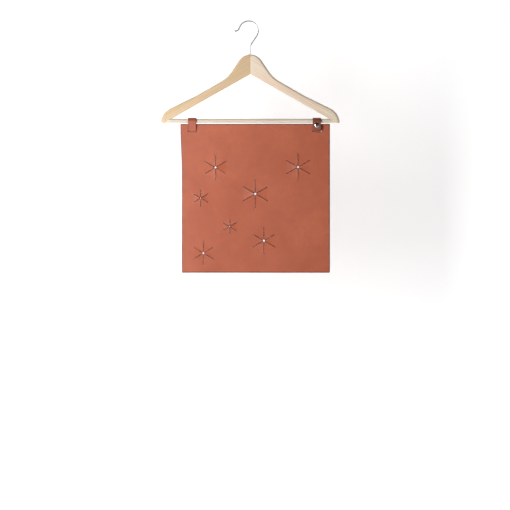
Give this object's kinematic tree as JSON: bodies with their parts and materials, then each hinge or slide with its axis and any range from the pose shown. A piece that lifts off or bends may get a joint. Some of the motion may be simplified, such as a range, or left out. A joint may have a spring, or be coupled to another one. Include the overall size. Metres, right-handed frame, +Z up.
{
  "type": "scarf hanger",
  "caption": "Wooden hanger with a swivel wire hook and a crossbar, and a square leather panel with star-shaped slits that hangs from the bar on two snap straps and holds scarves.",
  "frame": {"origin": "rail seat: the underside of the hook's wire at the top of the eye, on the swivel axis", "axes": "+Z up along the swivel axis, +X to the right as the front is seen, +Y away from the viewer; the arms sweep forward, towards -Y"},
  "size_m": [0.4372, 0.0637, 0.6183],
  "materials": {
    "hook_chrome": "polished plating on steel wire",
    "arm_wood": "pale wood, fine grain, satin clear varnish",
    "bar_wood": "pale dowel, fine straight grain, matt",
    "panel_leather": "smooth cognac leather with a fine grain, satin",
    "strap_leather": "smooth cognac leather with darker edges, satin",
    "snap_metal": "polished nickel plating"
  },
  "bodies": {
    "hook_unit": {"hook": "hook_chrome", "hook_washer": "hook_chrome", "hook_nut": "hook_chrome"},
    "hanger": {"left_arm": "arm_wood", "right_arm": "arm_wood"},
    "bar": {"crossbar": "bar_wood"},
    "panel_unit": {"panel": "panel_leather", "left_strap": "strap_leather", "right_strap": "strap_leather", "left_snap_stud": "snap_metal", "left_snap_eyelet": "snap_metal", "right_snap_stud": "snap_metal", "right_snap_eyelet": "snap_metal"},
    "left_tab": {"left_flap": "strap_leather", "left_snap_cap": "snap_metal", "left_snap_socket": "snap_metal", "left_snap_ring": "snap_metal"},
    "right_tab": {"right_flap": "strap_leather", "right_snap_cap": "snap_metal", "right_snap_socket": "snap_metal", "right_snap_ring": "snap_metal"}
  },
  "joints": [
    {"name": "hook_swivel", "type": "hinge", "parent": "hook_unit", "child": "hanger", "pos_m": [0, 0, -0.1], "axis": [0, 0, 1], "continuous": true},
    {"name": "bar_turn", "type": "hinge", "parent": "hanger", "child": "bar", "pos_m": [0, -0.0442, -0.2429], "axis": [-1, 0, 0], "range_deg": [-90, 110]},
    {"name": "panel_slide", "type": "slide", "parent": "bar", "child": "panel_unit", "axis": [1, 0, 0], "range_m": [-0.028, 0.003]},
    {"name": "left_tab_bend", "type": "hinge", "parent": "panel_unit", "child": "left_tab", "pos_m": [-0.14235, -0.03713, -0.23833], "axis": [1, 0, 0], "range_deg": [0, 120]},
    {"name": "right_tab_bend", "type": "hinge", "parent": "panel_unit", "child": "right_tab", "pos_m": [0.16245, -0.05127, -0.23833], "axis": [-1, 0, 0], "range_deg": [0, 120]}
  ]
}
